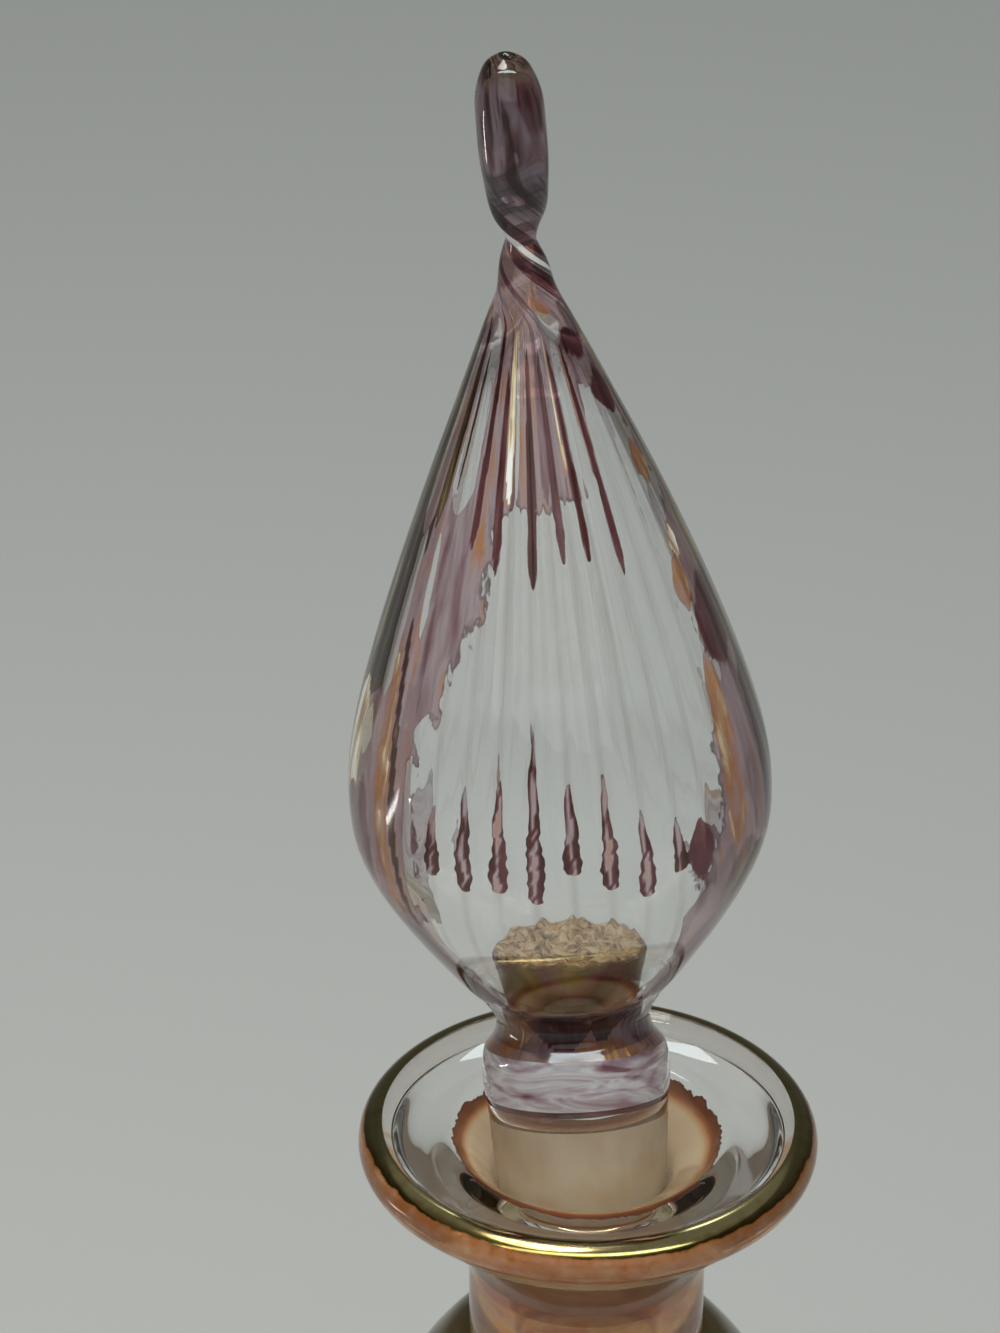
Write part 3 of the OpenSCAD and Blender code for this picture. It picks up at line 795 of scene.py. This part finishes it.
def gold_fields(centre):
    """How thick the gold is: full on top, thin copper below, worn away low at the back."""
    def fields(turn, z, r):
        rise = np.degrees(np.arctan2(z - centre[1], r - centre[0]))
        front = ease(np.cos(turn), -0.5, 0.4)
        least = 0.57 * front - 0.3
        thick = 0.5 + (rise - GOLD_FROM + 6 * np.sin(2 * turn)) / GOLD_OVER
        return {"thick": np.clip(thick, least, 1)}
    return fields


lip_gold = spin("lip_gilding_ring", [
    (arc(lip_centre, LIP_EDGE_R, GOLD_LOW, GOLD_HIGH, 40), gold),
    (arc(lip_centre, LIP_EDGE_R - GOLD_T, GOLD_HIGH, GOLD_LOW, 40), fused_seat)],
    around=360, roll=13.0, fields=gold_fields(lip_centre))
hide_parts("lip_gilding")
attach(lip_gold, "bottle")

foot_gold = spin("foot_gilding_ring", [
    (arc(edge_centre, FOOT_EDGE_R, -GOLD_HALF, GOLD_HALF), gold),
    (arc(edge_centre, FOOT_EDGE_R - GOLD_T, GOLD_HALF, -GOLD_HALF), fused_seat)],
    roll=19.0, fields=gold_fields((edge_centre[0], edge_centre[1] - 1.0)))
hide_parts("foot_gilding")
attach(foot_gold, "bottle")

# %% [markdown]
# ## The stopper
#
# All of the stopper lies on an axis that leans 3.1 degrees, and towards its tip the glass bends
# a little further, because it sagged as the finial was pulled. Plug, collar, flame and finial
# are spun on that one bent axis, so they meet as they do in the glass.
#
# Two small forms differ from the solids. The collar and the waist slope, because the real ones
# were joined a little askew, and the collar's shoulder runs on straight into the flame's foot.

# %% The stopper's axis
COLLAR_H, COLLAR_R, WAIST_R = 3.8, 5.45, 4.5
FLAME_R, FLAME_BELLY_H, FLAME_TAPER_H, FLAME_WALL, NIP_R = 11.9, 17.0, 34.2, 1.0, 0.9
collar_top = plug_top + COLLAR_H
flame_top = collar_top + FLAME_BELLY_H + FLAME_TAPER_H
TIP_SAG, SAG_START = 0.44, 45.0
SLANT = math.radians(21)
FINIAL_LEAN = math.radians(1.56)


def askew(height):
    """The slope at a height: full at the collar and the waist, which are higher in front."""
    return math.tan(SLANT) * ease(height, 8.5, 10.5) * (1 - ease(height, 16.5, 22))


def on_axis(x, y, height):
    """From the stopper's own straight axis to the model's frame, with the sag near the tip."""
    height = height - y * askew(height)
    sag = TIP_SAG * np.clip((height - SAG_START) / (flame_top - SAG_START), 0, 1) ** 2
    sag = sag + math.tan(FINIAL_LEAN) * np.clip(height - flame_top, 0, None)
    x = x - sag
    return (x * math.cos(LEAN) - height * math.sin(LEAN), y,
            x * math.sin(LEAN) + height * math.cos(LEAN) + LIP_Z)


def leaning(r, turn, height):
    """From radius, turn and height on the stopper's axis to x, y and z."""
    return on_axis(r * np.sin(turn), -r * np.cos(turn), height)


print("flame from", round(collar_top, 1), "to", round(flame_top, 1), "mm above the lip's foot")

# %% The plug and the collar
PLUG_GAP, POLISHED = 0.6, 1.1
ground_to = plug_top - POLISHED
plug = spin("ground_plug_glass", [
    ([(0, PLUG_GAP)] + even([(plug_r(PLUG_GAP), PLUG_GAP), (plug_r(ground_to), ground_to)], 0.4),
     ground_glass),
    (even([(plug_r(ground_to), ground_to), (plug_r(plug_top), plug_top)], 0.2), clear_glass),
    ([(plug_r(plug_top), plug_top), (0, plug_top)], fused_seat)], form=leaning, roll=5.0)
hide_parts("ground_plug")
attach(plug, "stopper")

collar_side = smooth(
    swell([(0, 0), (0.3, 1), (0.55, 0.97)], plug_top, COLLAR_H, PLUG_TOP_R, COLLAR_R)
    + swell([(0.8, 0.95), (1, 0.74)], plug_top, COLLAR_H, WAIST_R, COLLAR_R))
collar_side = even(collar_side, 0.1)
SEAM_ROWS = 5           # rows of the mesh, 0.1 mm each, that the maroon seam takes up
collar_end_r = collar_side[-1][0]
collar = spin("stopper_collar_glass", [
    ([(0, plug_top), (PLUG_TOP_R, plug_top)], fused_seat),
    (collar_side[:SEAM_ROWS], collar_seam), (collar_side[SEAM_ROWS - 1:], collar_glass),
    ([(collar_end_r, collar_top), (0, collar_top)], fused_seat)], form=leaning, roll=5.0)
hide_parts("stopper_collar")
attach(collar, "stopper")

# %% [markdown]
# The core is a rod of amber glass that was snapped off inside the waist. Its side is fused to
# the glass around it up to where the hollow begins. Above that it stands free and widens, a
# little more than its solid does, and its top is chipped. The chips are made by moving the
# top's rings up and down with twelve waves. A seeded chance gives each its length and its
# direction, so no pattern shows and every run makes the same chips.

# %% The core
CORE_R, CORE_TOP_R, CORE_H, HOLLOW_SHARE, CORE_SLOPE = 3.6, 4.5, 7.2, 0.14, 0.4
hollow_z = collar_top + FLAME_BELLY_H * HOLLOW_SHARE
core_top = collar_top + CORE_H
core_line = even([(CORE_R, collar_top), (CORE_R, hollow_z), (CORE_TOP_R, core_top - 0.5)], 0.2)
core_cap = even([(CORE_TOP_R, core_top - 0.5), (CORE_TOP_R - 0.25, core_top - 0.15),
                 (0, core_top - 0.2)], 0.12)
CHIP_SEED, CHIPS = 5, 12
chance = np.random.default_rng(CHIP_SEED)
CHIP_WAVES = [(k * math.cos(way), k * math.sin(way), start) for k, way, start in zip(
    chance.uniform(1.5, 9, CHIPS), chance.uniform(0, math.tau, CHIPS),
    chance.uniform(0, math.tau, CHIPS))]


def core_form(r, turn, height):
    """Tilts the core's free end and chips its top."""
    x, y = r * np.sin(turn), -r * np.cos(turn)
    top = ease(height, core_top - 1.0, core_top - 0.4)
    chips = sum(np.sin(a * x + b * y + c) for a, b, c in CHIP_WAVES) / 3
    slope = np.clip(CORE_SLOPE * ease(height, hollow_z, core_top - 1) - askew(height), 0, None)
    rim = 1 - 0.6 * ease(r, CORE_TOP_R - 1.5, CORE_TOP_R)
    return on_axis(x, y, height + top * (0.2 * chips * rim - 0.12) - y * slope)


def core_fields(turn, height, r):
    """Where the broken top begins, which has a finish of its own."""
    return {"broken": ease(height, core_top - 0.4, core_top - 0.2)}


core = spin("waist_core_glass", [
    ([(0, collar_top), (CORE_R, collar_top)], core_glass), (core_line + core_cap[1:], core_glass)],
    form=core_form, roll=4.0, fields=core_fields)
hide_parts("waist_core")
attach(core, "stopper")

# %% [markdown]
# ## The flame
#
# The flame was blown into a ribbed mould, so it has 36 ribs outside and a smooth wall inside.
# Then its top was pulled thin and turned, so the ribs run together and twist at the nip.

# %% The flame's outline
flame_side = smooth(
    swell([(0, 0.095), (0.0255, 0.0545), (0.051, 0.014), (0.085, -0.004), (0.13, 0.003),
           (0.29, 0.2), (0.59, 0.65), (0.82, 0.925)],
          collar_top, FLAME_BELLY_H, WAIST_R, FLAME_R) + [(FLAME_R, collar_top + FLAME_BELLY_H)]
    + swell([(0.12, 0.964), (0.3, 0.808), (0.535, 0.548), (0.775, 0.246), (0.92, 0.062), (1, 0)],
            collar_top + FLAME_BELLY_H, FLAME_TAPER_H, NIP_R, FLAME_R))
nip_start = min(range(len(flame_side)), key=lambda i: abs(flame_side[i][1] - flame_top + 5))
flame_side = (even(flame_side[:nip_start + 1], 0.3) + even(flame_side[nip_start:], 0.1)[1:])
closed_z = collar_top + FLAME_BELLY_H + FLAME_TAPER_H * 0.92
belly_z = collar_top + FLAME_BELLY_H
hollow = [(max(r - FLAME_WALL, CORE_R if z < belly_z else 0)
           * float(1 - ease(z, closed_z - 6, closed_z)), z)
          for r, z in flame_side if hollow_z < z < closed_z]
hollow = even([(CORE_R, hollow_z)] + hollow + [(0, closed_z)], 0.6)
print("flame outline", len(flame_side), "points, hollow", len(hollow))

# %% The flame's ribs and twist
GROOVE, GROOVE_PLACE, FLAME_SKIN_MM = 0.08, math.radians(-5.5), 0.02
TWIST_START, TWIST_END = flame_top - 4.5, flame_top + 4.5
TWIST_TURN = math.radians(330)


def twist(height):
    """How far the glass was turned round at each height, growing quickly at the nip."""
    return TWIST_TURN * ease(height, TWIST_START, TWIST_END)


def rope(r, turn, height):
    """Near the nip the glass is flattened into a ribbon, which the twist turns into a rope."""
    near = ease(height, flame_top - 5, flame_top) * (1 - ease(height, flame_top, flame_top + 6))
    return r * (1 + 0.12 * near * np.cos(2 * (turn + twist(height))))


def flame_form(r, turn, height):
    """Cuts the flame's grooves, deepest in front and behind, and flattens it at the nip."""
    outer = np.interp(height, [q[1] for q in flame_side], [q[0] for q in flame_side])
    outside = r > outer - FLAME_SKIN_MM
    depth = (GROOVE * np.clip(outer / 7, 0, 1) * ease(height, collar_top + 15, collar_top + 21)
             * (1 - ease(height, flame_top - 8, flame_top - 4)) * (0.2 + 0.8 * np.cos(turn) ** 4))
    groove = (0.5 + 0.5 * np.cos(RIBS * (turn + twist(height) - GROOVE_PLACE))) ** 2
    return leaning(np.where(outside, rope(r - depth * groove, turn, height), r), turn, height)


# %% [markdown]
# ## The film on the flame, and painted light on it
#
# The film's place is written as a reader of the glass would describe it: how far round the left
# and the right patches reach at each height, how low the fan comes down from the tip, how tall
# each lower spindle is, and then single strokes. A few of the strokes are painted light and not
# film: shade down both side edges, and a highlight and a reflection on the left. Heights are in
# millimetres above the collar, and turns are in degrees, 0 in front and growing to the right,
# before the glass was twisted.

# %% The patches and the fan
LEFT_EDGE = ([0, 8, 12, 14, 17, 20, 23, 25, 29, 32, 35, 38, 44, 48],
             [-120, -90, -55, -40, -38, -40, -46, -40, -34, -27, -25, -22, -30, -60])
RIGHT_EDGE = ([0, 8, 12, 16, 17, 18, 24, 25, 26.8, 28, 31, 32.5, 33.5, 35, 37, 39, 42, 43.5, 46,
               48, 50],
              [120, 85, 50, 42, 44, 48, 52, 62, 73, 67, 67, 62, 72, 72, 83, 80, 76, 62, 45, 20,
               -10])
FAN_EDGE = ([-180, -120, -60, -25, 0, 20, 38, 44, 50, 60, 80, 110, 150, 180],
            [40, 38, 34, 37.5, 38, 38.2, 39.5, 44, 47, 47.5, 46, 41, 42, 40])
RAGGED = 14.0           # degrees over which a patch's edge is eaten into by the noise
PATCH_FOOT = 9.5        # height where the patches begin


def patches(s, phi, place, off):
    """How far inside the left patch, the right patch or the fan each point lies."""
    low = (s - PATCH_FOOT - np.sin(place)) / 1.5
    left = np.minimum(np.minimum(np.interp(s, *LEFT_EDGE) - phi, phi + 125) / RAGGED, low)
    right = np.minimum(np.minimum(phi - np.interp(s, *RIGHT_EDGE), 120 - phi) / RAGGED, low)
    spears = 4 * np.abs(np.sin(math.pi * place)) * (np.abs(phi) > 60)
    behind = 3 * (np.abs(phi) > 95) * (np.abs(off) > 1.2)
    fan = (s - np.interp(phi, *FAN_EDGE) - spears) / 1.6 - behind
    return np.maximum.reduce([left, right, fan])


print("patches follow", len(LEFT_EDGE[0]) + len(RIGHT_EDGE[0]) + len(FAN_EDGE[0]), "points")

# %% The spindles
# One stands in each groove in front, wavy below, with a pale vein between its dark edges.
SPINDLE_TOPS = [24.2, 25.6, 27.6, 24.3, 24.9, 22.6, 21.1, 20.0, 22.0]
SPINDLE_FEET = [17.3, 17.4, 16.9, 18.6, 17.6, 16.5, 17.4, 17.0, 17.8]
SPINDLE_FRONT, SPINDLE_HALF = 42, 3.0      # in degrees: how far round they stand, half width


def spindles(s, phi, number, off):
    """How far inside a spindle each point lies, and the tone that it would have there."""
    top = np.array(SPINDLE_TOPS)[(number + 2) % 9]
    foot = np.array(SPINDLE_FEET)[(number + 2) % 9]
    share = (s - foot) / (top - foot)
    width = (SPINDLE_HALF * np.clip(1 - share, 0, 1) ** 0.85
             * np.clip(share * 5 + 0.2, 0, 1) ** 0.5)
    sway = 0.25 * np.sin(1.9 * s + 2 * number) + 0.3 * np.sin(7.3 * s + number) * (share < 0.45)
    here = (np.abs(phi) < SPINDLE_FRONT) & (share > 0) & (share < 1)
    inside = np.where(here, (width - np.abs(off + sway)) / 1.3, -1)
    bend = np.sin(1.3 * s + 1.7 * number + 1.4 * np.sin(0.9 * s + 2 * number))
    vein = np.abs(off + sway - 0.5 * bend) - 0.55 - 0.35 * np.sin(1.7 * s + 3 * number)
    return inside, 0.7 - 0.46 * ease(vein, -0.1, 0.35)


print(len(SPINDLE_TOPS), "spindles, the tallest up to", max(SPINDLE_TOPS), "mm")

# %% Strokes of the film and of painted light
# Each stroke: height of its foot and of its head, its turn at each, its half width in degrees,
# and its place in LUSTRE_COLOURS. BARE wipes the film off. A few strokes are painted light,
# named where they stand.
BARE = None
STROKES = [
    # The first stroke, at -89 degrees all the way up, is painted shade: a dark line down the
    # flame's left edge as seen from the front.
    (8, 51, -89, -89, 7, 0.03), (33, 48, -75, -71, 13, 0.13), (25, 35, -79, -78, 11, 0.16),
    # The stroke at -80 degrees, from 18.5 to 26 mm up, is a painted highlight on the left edge,
    # drawn as milky cream film.
    (27, 33, -84, -84, 3.5, 0.02), (18.5, 26, -80, -80, 7, 0.95), (13.5, 20, -73, -75, 7, 0.5),
    # The orange stroke from -50 to -62 degrees and the thin dark one beside it are a painted
    # reflection, drawn as film.
    (8, 14.5, -74, -79, 9, 0.84), (11, 29, -50, -62, 3, 0.84), (13, 31, -46, -58.5, 1.1, 0.14),
    (13, 21, -62, -68, 3, 0.4), (26, 36, -65, -66, 2.6, BARE), (22, 25, -71, -71, 4, BARE),
    (15, 24, -43, -46, 1.6, BARE), (30, 36, -52, -54, 1.8, BARE), (24, 26.5, -41, -42, 6, BARE),
    (35, 47.5, -68, -66, 5.5, 0.68), (36, 46, -71, -70, 1.6, BARE), (36, 47, -59, -57, 2.2, 0.12),
    (37, 47.5, -47, -43, 8, BARE), (38, 46, -50, -48, 1.0, 0.14), (35.5, 48, -34, -31, 2.2, 0.3),
    (38, 48, -27, -26, 2.0, 0.7), (34.6, 45, -21, -22, 2.2, 0.32), (38, 48, -16.5, -16, 2.2, 0.97),
    (38.5, 48, -12, -12, 1.2, BARE), (38, 49, -8, -8, 2.6, 0.74), (33.8, 46, -4.4, -3, 2.4, 0.3),
    (38, 48, 0, 1, 1.5, 0.68), (38, 48, 4.5, 4.5, 2.4, 0.5), (35, 46, 9.7, 9, 2.1, 0.32),
    (38, 48, 14, 14, 2.2, 0.64), (38.5, 47, 17.5, 17, 1.0, 0.9), (35, 46, 21.3, 20, 1.8, 0.34),
    (37, 46, 25, 25, 1.6, BARE), (37.5, 47, 30, 29, 3.6, BARE), (33.8, 46, 36, 37, 1.8, 0.32),
    (38, 43.5, 47, 50, 9, BARE), (41.4, 44.4, 72, 66, 14, 0.33), (43.4, 45.4, 56, 54, 22, 0.64),
    (44.8, 46.6, 62, 52, 26, 0.35), (46.1, 47.9, 34, 34, 20, BARE), (47.5, 48.6, 42, 42, 34, 0.81),
    (37.3, 39.9, 73, 73, 9, 0.83), (15, 26, 80, 84, 8, 0.33), (15, 27, 66, 72, 7, 0.64),
    (17, 28, 56, 62, 4, 0.83), (26.6, 31.6, 74, 78, 12, 0.35), (30.6, 33.4, 63, 65, 6, 0.83),
    (33, 35, 69, 71, 5, 0.95), (16.4, 20.2, 41.5, 42, 4.6, 0.37), (20, 21.4, 46, 46, 4, BARE),
    # The last stroke on this line, at 90 degrees all the way up, is painted shade: a dark line
    # down the flame's right edge as seen from the front.
    (9.5, 15.6, 47, 45, 9, 0.62), (11, 16, 66, 68, 9, 0.12), (8, 50, 90, 90, 6, 0.05),
    (10, 15, -60, -64, 4, 0.5), (9.5, 14, -46, -50, 5, 0.66), (0, 3, -52, -48, 20, 0.82),
    (0.5, 4.5, -5, -12, 22, 0.36), (1, 5, 22, 30, 12, 0.3), (3, 6, 42, 38, 11, 0.08),
    (0, 4, 62, 60, 16, 0.52), (4, 7.5, 72, 66, 14, 0.38), (4, 7, -72, -62, 14, 0.34),
    (3.6, 5.4, 8, 6, 16, 0.56), (3.5, 14, -32, -64, 13, 0.33), (3.5, 12.5, 36, 66, 10, 0.36),
]


def stroke(cover, hue, s, phi, low, high, at_low, at_high, half, tone):
    """Paints one stroke, with pointed ends, on the cover and hue, as film or as painted light."""
    along = (s - low) / (high - low)
    ends = np.clip(np.minimum(along, 1 - along) * (high - low) / 1.5, 0, 1)
    near = (half * ends ** 0.6 - np.abs(phi - at_low - (at_high - at_low) * along)) / 1.6
    here = (along > 0) & (along < 1)
    if tone is BARE:
        return np.where(here, np.minimum(cover, -near), cover), hue
    return np.where(here, np.maximum(cover, near), cover), np.where(here & (near > 0), tone, hue)


print(len(STROKES), "strokes")

# %% The bands of the twist
# Each band runs through the twist into the finial: its turn, half width, and place in
# LUSTRE_COLOURS. The sine of its turn gives it a start and an end of its own.
BANDS = [(60, 24, 0.66), (92, 9, 0.4), (118, 19, 0.35), (158, 16, 1.0), (197, 17, 0.37),
         (236, 14, 0.66), (262, 8, 0.34), (287, 11, 0.8), (312, 11, 0.68), (336, 7, 0.35),
         (358, 12, 0.7), (22, 12, 0.43)]
BANDS_LOW, BANDS_HIGH = flame_top - 3.5, flame_top + 5.0


def from_band(phi, at):
    """Degrees from the middle of a band."""
    return np.abs((phi - at + 180) % 360 - 180)


print(len(BANDS), "bands from about", round(BANDS_LOW, 1), "mm above the lip's foot")

# %% All of the film and the painted light together
RIB_STEP = 360 / RIBS
WAIST_FILM = 4.6        # height of the film round the waist


def flame_fields(turn, height, r):
    """The film, what it left where it burnt away, and a few strokes of painted shade, highlight
    and reflection. Later strokes lie over earlier ones.
    """
    s = height - collar_top
    phi = np.degrees((turn + twist(height) + math.pi) % math.tau - math.pi)
    place = (phi - math.degrees(GROOVE_PLACE)) / RIB_STEP
    number = np.round(place).astype(int)
    off = (place - number) * RIB_STEP
    spindle, spindle_tone = spindles(s, phi, number, off)
    waist = (WAIST_FILM + 0.9 * np.sin(np.radians(2 * phi + 40)) + 0.5 * np.sin(place * 2.3) - s
             - 4 * ease(np.abs(phi), 85, 110))
    cover = np.maximum.reduce([patches(s, phi, place, off), spindle, waist / 1.5])
    hue = 0.64 + 0.06 * np.sin(place * 2.1) + 0.06 * np.sin(place * 5.3 + s / 4)
    hue = np.where(spindle > -0.5, spindle_tone, hue)
    hue = np.where(s < WAIST_FILM + 2, 0.7 + 0.12 * np.sin(np.radians(3 * phi) + s), hue)
    for line in STROKES:
        cover, hue = stroke(cover, hue, s, phi, *line)
    for at, half, tone in BANDS:
        narrowed = half * np.clip((height - BANDS_LOW - 1.5 * np.sin(at)) / 3, 0, 1) ** 0.6
        here = from_band(phi, at) < narrowed
        cover, hue = np.where(here, 1, cover), np.where(here, tone, hue)
    residue = np.exp(-(np.abs(off) / 1.1) ** 2) * ease(s, 9, 13) * (1 - ease(s, 36, 42))
    return {"cover": np.clip(cover, -1, 1), "hue": hue, "residue": 0.6 * residue,
            "haze": ease(s, 9, 15)}


# %% The flame
flame = spin("stopper_flame_glass", [
    ([(CORE_R, collar_top), (flame_side[0][0], collar_top)], fused_seat),
    (flame_side, flame_film_and_painted_light),
    ([(NIP_R, flame_top), (NIP_R / 2, flame_top), (0, flame_top)], fused_seat),
    (hollow[::-1], clear_glass),
    ([(CORE_R, hollow_z), (CORE_R, collar_top)], fused_seat)],
    form=flame_form, around=RIBS * 12, roll=8.0, fields=flame_fields, twist=twist)
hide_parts("stopper_flame")
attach(flame, "stopper")

# %% [markdown]
# ## The finial
#
# The finial is a solid drop of lilac glass, pulled from the flame's tip. The twist of the nip
# runs on into its root, where the strands carry maroon.

# %% The finial
FINIAL_R, FINIAL_H = 1.85, 10.68
finial_side = smooth(
    swell([(0, 0), (0.18, 0.53), (0.37, 0.95), (0.6, 1)], flame_top, FINIAL_H, NIP_R, FINIAL_R)
    + swell([(0.785, 0.95), (0.925, 0.67), (0.98, 0.3), (1, 0)], flame_top, FINIAL_H, 0,
            FINIAL_R))


def finial_form(r, turn, height):
    """The drop's root is flattened and twisted as the nip is."""
    return leaning(rope(r, turn, height), turn, height)


def finial_fields(turn, height, r):
    """The bands thin out up the finial, and its tip is dark."""
    phi = np.degrees(turn + twist(height))
    cover, hue = np.zeros(height.shape), np.zeros(height.shape)
    for at, half, tone in BANDS:
        reach = BANDS_HIGH - 1 + 1.6 * np.sin(at)
        width = 1.2 * half * np.clip((reach - height) / 4, 0, 1) ** 0.6
        near = np.clip(width - from_band(phi, at), 0, 3) / 3
        cover = np.maximum(cover, near)
        hue = np.where(near > 0, tone, hue)
    tip = 0.75 * ease(height, flame_top + 8.6, flame_top + 9.8)
    return {"cover": np.maximum(cover, tip), "hue": np.where(tip > cover, 0.07, hue)}


finial = spin("stopper_finial_glass", [
    ([(0, flame_top), (NIP_R / 2, flame_top), (NIP_R, flame_top)], fused_seat),
    (even(finial_side, 0.12), finial_glass)],
    form=finial_form, around=144, roll=1.6, fields=finial_fields, twist=twist)
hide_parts("stopper_finial")
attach(finial, "stopper")
